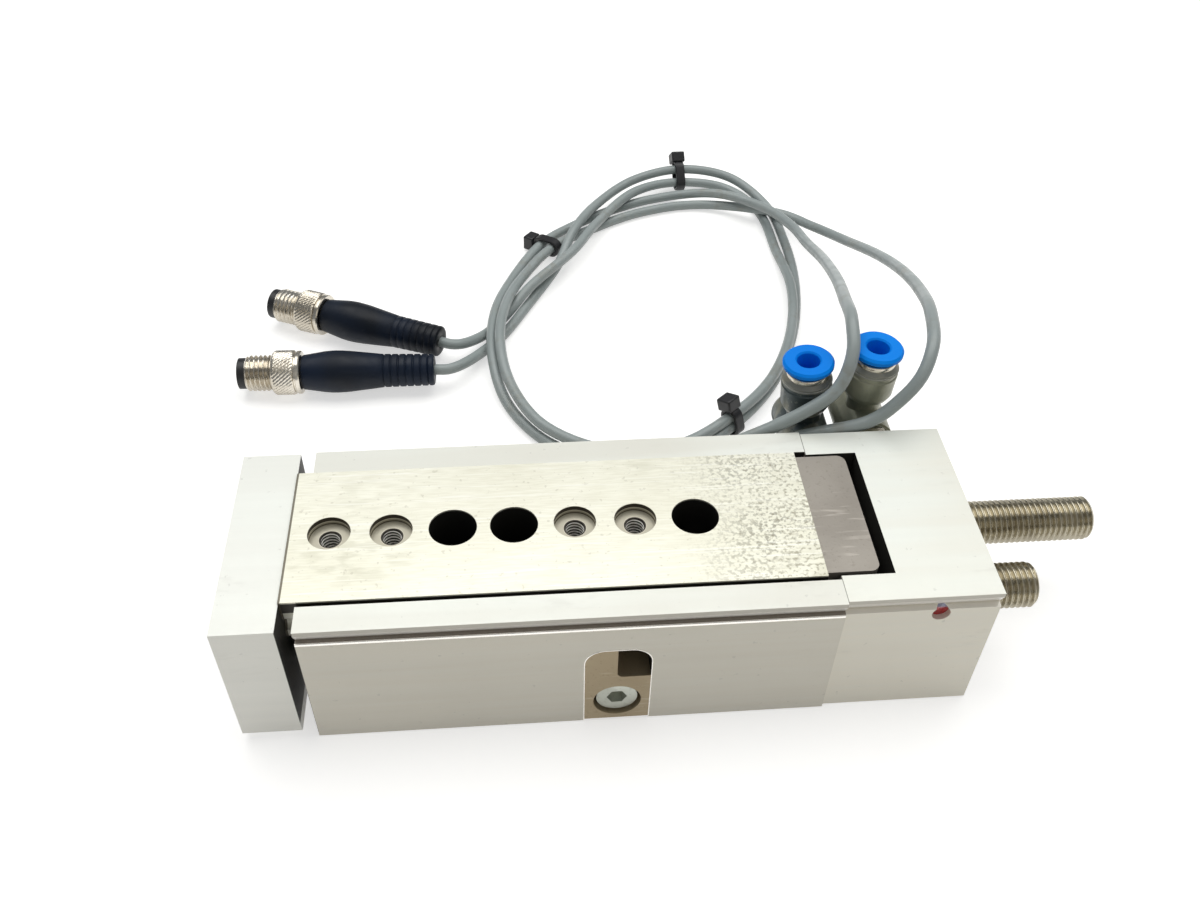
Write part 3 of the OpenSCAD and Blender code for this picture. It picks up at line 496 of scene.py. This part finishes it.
def add(name, verts, faces, material, body, matrix=None, smooth=40, stands_for=()):
    """A mesh piece, its points in mm in its own frame, that rides on a CAD body."""
    mesh = bpy.data.meshes.new(name)
    m = matrix or Matrix.Identity(4)
    mesh.from_pydata([(m @ Vector(v)) * MM for v in verts], [], faces)
    mesh.validate()
    mesh.materials.append(material)
    obj = bpy.data.objects.new(name, mesh)
    scene.collection.objects.link(obj)
    if smooth:
        mesh.shade_smooth()
        mesh.set_sharp_from_angle(angle=math.radians(smooth))
    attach(obj, body)
    if stands_for:
        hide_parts(*stands_for)
    return obj


def loft(rings, cap_start=True, cap_end=True):
    """Points and faces of a surface through rings of equally many points."""
    n = len(rings[0])
    verts = [p for ring in rings for p in ring]
    faces = [(i * n + k, i * n + (k + 1) % n, (i + 1) * n + (k + 1) % n, (i + 1) * n + k)
             for i in range(len(rings) - 1) for k in range(n)]
    if cap_start:
        faces.append(tuple(range(n - 1, -1, -1)))
    if cap_end:
        faces.append(tuple((len(rings) - 1) * n + k for k in range(n)))
    return verts, faces


def ring(x, radius, n):
    """A ring round the local X axis: radius is a number or a function of the angle."""
    r = radius if callable(radius) else (lambda a: radius)
    turns = [TAU * k / n for k in range(n)]
    return [(x, r(a) * math.cos(a), r(a) * math.sin(a)) for a in turns]


def hexagon(across):
    """The radius of a hexagon as a function of the angle, from its width across flats."""
    return lambda a: across / 2 / math.cos((a % (math.pi / 3)) - math.pi / 6)


def thread_rings(x0, x1, major, minor, pitch, n, steps, start, end):
    """Rings of an outer thread, steps to a turn, with chamfers start and end deep."""
    out = []
    count = max(2, int(round((x1 - x0) / pitch * steps)))
    for i in range(count + 1):
        x = x0 + (x1 - x0) * i / count
        limit = min(major, major - start + (x - x0), major - end + (x1 - x))

        def radius(a, x=x, limit=limit):
            t = ((x / pitch - a / TAU) % 1) * 2
            wave = min(1, max(0, (1 - abs(1 - t)) * 1.35 - 0.12))
            return min(limit, minor + (major - minor) * wave)
        out.append(ring(x, radius, n))
    return out


# ---------- cables ----------

# The same points as in the part's source, in mm.
ROUTE_A = [
    (13, 17.4, 10.5), (15.6, 17.4, 10.5), (25.5, 20.9, 10.6), (35.5, 20.9, 20.2), (42.5, 20.7, 25.7),
    (56, 20.6, 29.6), (60.5, 20.8, 34), (63.8, 21.8, 38.7), (66.3, 26, 42), (69, 36, 41.4),
    (72.3, 50, 36), (75.2, 68, 28), (76.3, 87, 19.1), (74.5, 106, 10.4), (70, 119.8, 5.6),
    (63, 128.8, 4), (43.5, 138, 1.4), (29, 135.9, 1.2), (15, 128.8, 1.2), (3.2, 118.5, 2.5),
    (-4.4, 105, 3.9), (-9, 92, 5.6), (-10.9, 78, 5.8), (-8.7, 63.5, 4.2), (-1.8, 50.3, 3.7),
    (11.5, 42.3, 3.6), (26, 43.1, 3.8), (39, 51.3, 4.5), (48.5, 62, 4.1), (56.2, 78, 3.7),
    (60.2, 96.5, 3.5), (60.3, 116, 1.2), (58.6, 135.5, 1.2), (51, 146.8, 1.3), (38.5, 148, 2.4),
    (26.5, 141.8, 3.7), (15, 127, 3.8), (7.8, 113.2, 4.7), (-3.4, 99.3, 4.2), (-9.5, 91.5, 1.8),
    (-14, 85, 1.8), (-19.6, 78.2, 4.4), (-22, 77.62, 4.9), (-24.26, 78.58, 4.9)]
ROUTE_B = [
    (-20, 17.4, 10.5), (-17.5, 17.4, 10.5), (-8.5, 20.9, 10.8), (27, 21, 23), (44.5, 21.7, 31.9),
    (49.6, 22.9, 35.8), (51.9, 25.6, 41), (52.8, 31.5, 43.5), (55, 44, 39.6), (58.9, 62, 31.2),
    (62, 82, 21.9), (63.9, 102, 12.6), (63.3, 117.5, 8), (58.7, 127.8, 6.5), (48, 138, 4.7),
    (35.5, 142.4, 1.5), (21, 137.5, 1.2), (8.5, 129.3, 1.3), (0.2, 120, 2.4), (-8.2, 103, 2.9),
    (-12, 89, 4.3), (-12.7, 74, 3.8), (-9.8, 61, 1.4), (-2, 48.7, 1.2), (10.5, 41.2, 1.2),
    (25, 41.4, 1.2), (37.5, 49, 2.3), (49.2, 63.2, 1.3), (57.8, 81.5, 1.2), (62.3, 101, 1.2),
    (63.3, 119.5, 1.2), (61.2, 138, 1.3), (53, 149, 3.1), (40, 150.8, 4.8), (27, 147.3, 4.1),
    (15.8, 136, 3.9), (8.5, 122, 4.8), (4, 111, 2.3), (-3, 98.2, 1.2), (-10, 85.2, 1.2),
    (-14.2, 79.6, 1.4), (-19.7, 71, 4.2), (-22.5, 68.83, 4.9), (-25.3, 68.9, 4.9)]
CABLE_R = 1.2


def curve_through(points, step=1.2):
    """A smooth line through the points, which keeps its bends apart where they are unevenly spaced."""
    p = [Vector(q) for q in points]
    p = [p[0] - (p[1] - p[0])] + p + [p[-1] + (p[-1] - p[-2])]
    out = []
    for i in range(1, len(p) - 2):
        a, b, c, d = p[i - 1:i + 3]
        t0 = (b - a).length ** 0.5
        t1 = (c - b).length ** 0.5
        t2 = (d - c).length ** 0.5
        m1 = (c - b) + t1 * ((b - a) / t0 - (c - a) / (t0 + t1))
        m2 = (c - b) + t1 * ((d - c) / t2 - (d - b) / (t1 + t2))
        n = max(3, int((c - b).length / step))
        for k in range(n):
            t = k / n
            q = ((2 * t ** 3 - 3 * t ** 2 + 1) * b + (t ** 3 - 2 * t ** 2 + t) * m1
                 + (-2 * t ** 3 + 3 * t ** 2) * c + (t ** 3 - t ** 2) * m2)
            q.z = max(q.z, CABLE_R)
            out.append(q)
    return out + [p[-2]]


def cable(name, node, route):
    """A round cable along the route, and its length in metres."""
    line = curve_through(route)
    data = bpy.data.curves.new(name, "CURVE")
    data.dimensions = "3D"
    data.bevel_depth = CABLE_R * MM
    data.bevel_resolution = 5
    data.use_fill_caps = True
    data.twist_mode = "MINIMUM"
    spline = data.splines.new("POLY")
    spline.points.add(len(line) - 1)
    for point, q in zip(spline.points, line):
        point.co = (q.x * MM, q.y * MM, q.z * MM, 1)
    spline.use_smooth = True
    data.materials.append(CABLE)
    obj = bpy.data.objects.new(name, data)
    scene.collection.objects.link(obj)
    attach(obj, "base")
    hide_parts(node)
    return obj, sum((b - a).length for a, b in zip(line, line[1:])) * MM


CORDS = [cable("sensor_cable_" + end, "cable_" + end, route)
         for end, route in (("a", ROUTE_A), ("b", ROUTE_B))]


# ---------- plugs ----------

PLUG_POSE = {"a": (-63.4, 95.2, -23), "b": (-67.8, 70, -1.5)}  # x and y of the tip, and the turn in degrees
PLUG_Z = 4.9
PLUG_LENGTH = 42.5
RIBS = 6


def plug_matrix(end):
    x, y, angle = PLUG_POSE[end]
    return Matrix.Translation((x, y, PLUG_Z)) @ Matrix.Rotation(math.radians(angle), 4, "Z")


def plug_body(end):
    """Overmould: a round shoulder, a waist and a ribbed strain relief."""
    outline = [(13.8, 3.5), (13.85, 3.72), (14.1, 3.82), (15, 3.95), (16.5, 4.18), (18.5, 4.5), (20, 4.62),
               (21, 4.65), (22.5, 4.6), (24, 4.5), (26, 4.27), (28.5, 4), (30, 3.82), (31.2, 3.68)]
    rib = ((0, 0.26), (0.1, 0.28), (0.22, 0.05), (0.38, 0), (1.24, 0), (1.4, 0.05), (1.52, 0.24))
    tail = ((0.05, 3.2), (0.2, 3.46), (0.75, 3.5), (1.05, 3.42), (1.25, 3.2), (1.32, 2.9), (1.32, 1.55),
            (1.1, 1.25))
    x = 31.4
    for k in range(RIBS):
        crest = 3.66 - 0.03 * k
        outline += [(x + dx, crest - drop) for dx, drop in rib]
        x += 1.62
    outline += [(min(PLUG_LENGTH, x + dx), r) for dx, r in tail]
    rings = [ring(x, r, 48) for x, r in outline]
    verts, faces = loft(rings)
    return add("plug_%s_overmould" % end, verts, faces, PLUG, "base", plug_matrix(end), 50,
               ["plug_%s_body" % end])


def plug_nut(end):
    """Coupling nut: an outer thread in front of a cross knurl."""
    n = 180
    front, back, teeth, slant = 7.7, 12.2, 36, 1.05  # of the knurl
    rings = [ring(2.0, 3.46, n), ring(1.72, 3.5, n), ring(1.7, 3.6, n)]
    rings += thread_rings(1.75, 7.0, 3.95, 3.5, 1.0, n, 10, 0.35, 0.3)
    rings += [ring(7.05, 3.55, n), ring(7.3, 3.55, n), ring(7.35, 4.25, n), ring(7.5, 4.5, n)]
    for i in range(31):
        x = front + 4.5 * i / 30
        run_out = min(1, (x - front) / 0.35 + 0.001, (back - x) / 0.35 + 0.001)

        def radius(a, x=x, run_out=run_out):
            left = abs((a * teeth / TAU + x * slant) % 1 - 0.5) * 2
            right = abs((a * teeth / TAU - x * slant) % 1 - 0.5) * 2
            return 4.66 + 0.22 * run_out * min(1, 1.5 * min(left, 0.55 + 0.45 * right) + 0.05)
        rings.append(ring(x, radius, n))
    rings += [ring(x, r, n) for x, r in ((12.25, 4.55), (12.3, 4.4), (12.55, 4.4), (12.6, 4.62),
                                         (12.75, 4.74), (13.3, 4.74), (13.55, 4.55), (13.6, 4.2),
                                         (13.6, 3.46))]
    rings.append(rings[0])
    verts, faces = loft(rings, False, False)
    return add("plug_%s_coupling" % end, verts, faces, BRIGHT, "nut_" + end, plug_matrix(end), 30,
               ["plug_%s_nut" % end])


PLUGS = {end: [plug_body(end), plug_nut(end)] for end in "ab"}


# ---------- cable ties ----------

def heading(p, i):
    """The direction of a route at its point i."""
    a, b = Vector(p[max(i - 1, 0)]), Vector(p[min(i + 1, len(p) - 1)])
    return (b - a).normalized()


def tie(index, i, j, side):
    """A strap round cable a at its point i and cable b at its point j, with its head on one side."""
    along = (heading(ROUTE_A, i) + heading(ROUTE_B, j)).normalized()
    a, b = Vector(ROUTE_A[i]), Vector(ROUTE_B[j])
    apart = b - a
    across = (apart - apart.dot(along) * along).normalized()
    up = along.cross(across)
    gap = apart.dot(across)
    m = Matrix((along, across, up)).transposed().to_4x4()
    m.translation = (a + b) / 2
    r_in, r_out, half = CABLE_R + 0.4, CABLE_R + 0.98, 1.2

    def oval(r, x):
        pts = []
        for s in (1, -1):
            for k in range(17):
                t = math.radians((-90 if s > 0 else 90) + 180 * k / 16)
                pts.append((x, s * gap / 2 + r * math.cos(t), r * math.sin(t)))
        return pts
    rings = [oval(r, x) for r, x in ((r_in, -half), (r_out - 0.15, -half), (r_out, -half + 0.15),
                                     (r_out, half - 0.15), (r_out - 0.15, half), (r_in, half),
                                     (r_in, -half))]
    verts, faces = loft(rings, False, False)
    strap = add("tie_%d_strap" % index, verts, faces, TIE, "base", m, 35)
    low, high = sorted((side * (gap / 2 + CABLE_R + 0.6), side * (gap / 2 + CABLE_R + 3.4)))
    head = block("tie_%d_head" % index, (-1.8, low, -1.6), (1.8, high, 2.0), 0.35, TIE, "base",
                 m)
    return [strap, head]


def block(name, lo, hi, bevel, material, body, matrix):
    """A moulded block with rounded edges."""
    verts = [(x, y, z) for x in (lo[0], hi[0]) for y in (lo[1], hi[1]) for z in (lo[2], hi[2])]
    faces = [(0, 1, 3, 2), (4, 6, 7, 5), (0, 4, 5, 1), (2, 3, 7, 6), (0, 2, 6, 4), (1, 5, 7, 3)]
    obj = add(name, verts, faces, material, body, matrix, 60)
    mod = obj.modifiers.new("edges", "BEVEL")
    mod.width = bevel * MM
    mod.segments = 3
    return obj


TIES = [piece for k, t in enumerate(((34, 33, 1), (19, 18, 1), (27, 26, -1))) for piece in tie(k + 1, *t)]
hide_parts("cable_ties")


# ---------- stop screws ----------

def stop_screw(name, node, body, x0, x1, y):
    """A threaded pin from x0 to x1, with a seat for its buffer at x0 and a hexagon socket at x1."""
    n = 72
    rings = [ring(x0 + 1.9, 2.55, n), ring(x0, 2.55, n), ring(x0, 3.3, n)]
    rings += thread_rings(x0 + 0.02, x1 - 0.02, 3.95, 3.42, STOP_PITCH, n, 12, 0.55, 0.55)
    rings += [ring(x1, 3.35, n), ring(x1, hexagon(4.35), n), ring(x1 - 0.25, hexagon(4.05), n),
              ring(x1 - 3, hexagon(4.05), n), ring(x1 - 3.6, 0.3, n)]
    verts, faces = loft(rings)
    place = Matrix.Translation((0, y, STOP_Z))
    return add(name, verts, faces, THREAD, body, place, 62, [node])


stop_screw("extend_stop_thread", "long_stop_screw", "long_stop", 38.3, 95.2, STOP_Y)
stop_screw("retract_stop_thread", "short_stop_screw", "short_stop", 50.75, 79.8, -STOP_Y)


# ---------- bright edges of the housing's grooves and window ----------

def lip(name, side, x0, x1, half):
    """Rounded edge of the lower wall under a groove, which catches the light."""
    outline = [(half - 0.03, 25.14), (half + 0.06, 25.2), (half + 0.08, 25.54), (half + 0.05, 25.62),
               (half - 0.04, 25.68), (half - 0.16, 25.68), (half - 0.22, 25.6), (half - 0.2, 25.3)]
    rings = [[(x, side * y, z) for y, z in outline[::side]] for x in (x0, x0 + 0.1, x1 - 0.1, x1)]
    verts, faces = loft(rings)
    return add(name, verts, faces, LIP, "base", None, 30)


lip("housing_lip_front", -1, -HOUSING_END, HOUSING_END, HOUSING_HALF)
lip("housing_lip_back", 1, -HOUSING_END, HOUSING_END, HOUSING_HALF)


def edge(name, path, y, r, n=8):
    """Thin round edge along a path of (x, z) in the plane of the front wall."""
    rings = []
    for i, (x, z) in enumerate(path):
        a, b = path[max(i - 1, 0)], path[min(i + 1, len(path) - 1)]
        out = Vector((b[1] - a[1], 0, a[0] - b[0])).normalized()
        turns = [TAU * k / n for k in range(n)]
        rings.append([Vector((x, y, z)) + r * (math.cos(t) * out - math.sin(t) * Vector((0, 1, 0)))
                      for t in turns])
    verts, faces = loft(rings)
    return add(name, verts, faces, LIP, "base", None, 50)


def quarter(x, z, r, first, steps=10):
    """A quarter circle round (x, z), clockwise from the angle first in degrees."""
    turns = [math.radians(first - 90 * k / steps) for k in range(steps + 1)]
    return [(x + r * math.cos(t), z + r * math.sin(t)) for t in turns]


edge("window_edge", [(WINDOW_X[0], 0.15)] + quarter(5, 16.3, 3.4, 180) + quarter(9.2, 16.3, 3.4, 90)
     + [(WINDOW_X[1], 0.15)], -19.47, 0.1)


# ---------- collars of the elbows ----------

def turned(name, outline, material, body, matrix, n=64):
    """A closed outline of (height, radius) turned round the local Z axis."""
    turns = [TAU * k / n for k in range(n)]
    rings = [[(r * math.cos(t), r * math.sin(t), z) for t in turns] for z, r in outline]
    verts, faces = loft(rings + rings[:1], False, False)
    return add(name, verts, faces, material, body, matrix, 40)


ELBOW_Y = 28.4
COLLAR = [(14.3, 3.32), (14.3, 3.8), (14.45, 3.84), (15.15, 3.84), (15.3, 3.74), (15.4, 3.5), (15.4, 3.32)]
BEAD = [(13.0, 4.3), (13.0, 4.47), (13.08, 4.6), (13.22, 4.63), (13.36, 4.6), (13.44, 4.47), (13.44, 4.3)]

for end, x, z, lean, zinc in (("a", 46.3, 20.5, -4, ZINC_A), ("b", 56.8, 23, 2, ZINC_B)):
    m = Matrix.Translation((x, ELBOW_Y, z)) @ Matrix.Rotation(math.radians(lean), 4, "Y")
    turned("elbow_%s_collar" % end, COLLAR, BRIGHT, "elbow_" + end, m)
    turned("elbow_%s_bead" % end, BEAD, zinc, "elbow_" + end, m)


# ---------- threads in the tapped holes ----------

def tapped(name, body, material, matrix, depth, n=40):
    """Crests of a thread just inside a hole's wall, along local +X from its mouth."""
    rings = []
    count = int(depth / M4_PITCH * 8)
    for i in range(count + 1):
        x = depth * i / count

        def radius(a, x=x):
            t = ((x / M4_PITCH - a / TAU) % 1) * 2
            wave = min(1, max(0, (1 - abs(1 - t)) * 1.5 - 0.2))
            return M4_WALL - 0.01 - 0.2 * wave * min(1, x / 0.4, (depth - x) / 0.2)
        rings.append(ring(x, radius, n))
    verts, faces = loft(rings, False, False)
    return add(name, verts, [f[::-1] for f in faces], material, body, matrix, 30)


down = Matrix.Rotation(math.radians(90), 4, "Y")
for k, x in enumerate(THREADED_X, 1):
    tapped("table_thread_%d" % k, "table", TAPPED,
           Matrix.Translation((x, 0, 27.35)) @ down, 5.7)
for k, y in enumerate((-10, 10), 1):
    tapped("yoke_thread_%d" % k, "table", YOKE, Matrix.Translation((-55.1, y, 17.5)), 7)


# ---------- stage and light ----------

FLOOR_HALF = 2.5
FLOOR_Z = -0.0001
FLOOR_GLOW = 0.56  # brings the lit floor to white in the camera and in reflections


def stage():
    """A pale floor that takes the shadows and is seen as white."""
    mesh = bpy.data.meshes.new("stage_floor")
    s, z = FLOOR_HALF, FLOOR_Z
    mesh.from_pydata([(-s, -s, z), (s, -s, z), (s, s, z), (-s, s, z)], [], [(0, 1, 2, 3)])
    floor = bpy.data.objects.new("stage_floor", mesh)
    scene.collection.objects.link(floor)
    m = bpy.data.materials.new("stage_floor")
    m.use_nodes = True
    t = m.node_tree
    shader = t.nodes["Principled BSDF"]
    shader.inputs["Base Color"].default_value = (0.7, 0.695, 0.68, 1)
    shader.inputs["Roughness"].default_value = 0.8
    shader.inputs["Specular IOR Level"].default_value = 0.1
    seen = t.nodes.new("ShaderNodeLightPath")
    either = t.nodes.new("ShaderNodeMath")
    either.operation = "MAXIMUM"
    t.links.new(seen.outputs["Is Camera Ray"], either.inputs[0])
    t.links.new(seen.outputs["Is Glossy Ray"], either.inputs[1])
    lift = t.nodes.new("ShaderNodeMath")
    lift.operation = "MULTIPLY"
    lift.inputs[1].default_value = FLOOR_GLOW
    t.links.new(either.outputs[0], lift.inputs[0])
    glow = t.nodes.new("ShaderNodeEmission")
    glow.inputs["Color"].default_value = (1, 1, 1, 1)
    t.links.new(lift.outputs[0], glow.inputs["Strength"])
    total = t.nodes.new("ShaderNodeAddShader")
    t.links.new(shader.outputs[0], total.inputs[0])
    t.links.new(glow.outputs[0], total.inputs[1])
    t.links.new(total.outputs[0], t.nodes["Material Output"].inputs["Surface"])
    grain = t.nodes.new("ShaderNodeTexNoise")
    grain.inputs["Scale"].default_value = 300
    bump = t.nodes.new("ShaderNodeBump")
    bump.inputs["Strength"].default_value = 0.03
    bump.inputs["Distance"].default_value = 0.0002
    t.links.new(grain.outputs["Fac"], bump.inputs["Height"])
    t.links.new(bump.outputs["Normal"], shader.inputs["Normal"])
    mesh.materials.append(m)


def lamp(name, place, target, size, power, colour):
    """A rectangular lamp that points from its place to the target, in metres."""
    data = bpy.data.lights.new(name, "AREA")
    data.shape = "RECTANGLE"
    data.size, data.size_y = size
    data.energy = power
    data.color = colour
    obj = bpy.data.objects.new(name, data)
    scene.collection.objects.link(obj)
    obj.location = place
    obj.rotation_euler = (Vector(target) - Vector(place)).to_track_quat("-Z", "Y").to_euler()


def world():
    """Dim, even light from all round."""
    w = bpy.data.worlds.new("studio")
    scene.world = w
    w.use_nodes = True
    back = w.node_tree.nodes["Background"]
    back.inputs["Color"].default_value = (0.93, 0.96, 1, 1)
    back.inputs["Strength"].default_value = 0.27


stage()
world()
lamp("key", (0.03, 0.3, 0.85), (0.01, 0.02, 0), (1.3, 0.8), 7.6, (1, 0.995, 0.975))
lamp("fill", (0.2, -0.75, 0.5), (0, 0, 0.01), (0.9, 0.6), 0.75, (1, 0.92, 0.78))
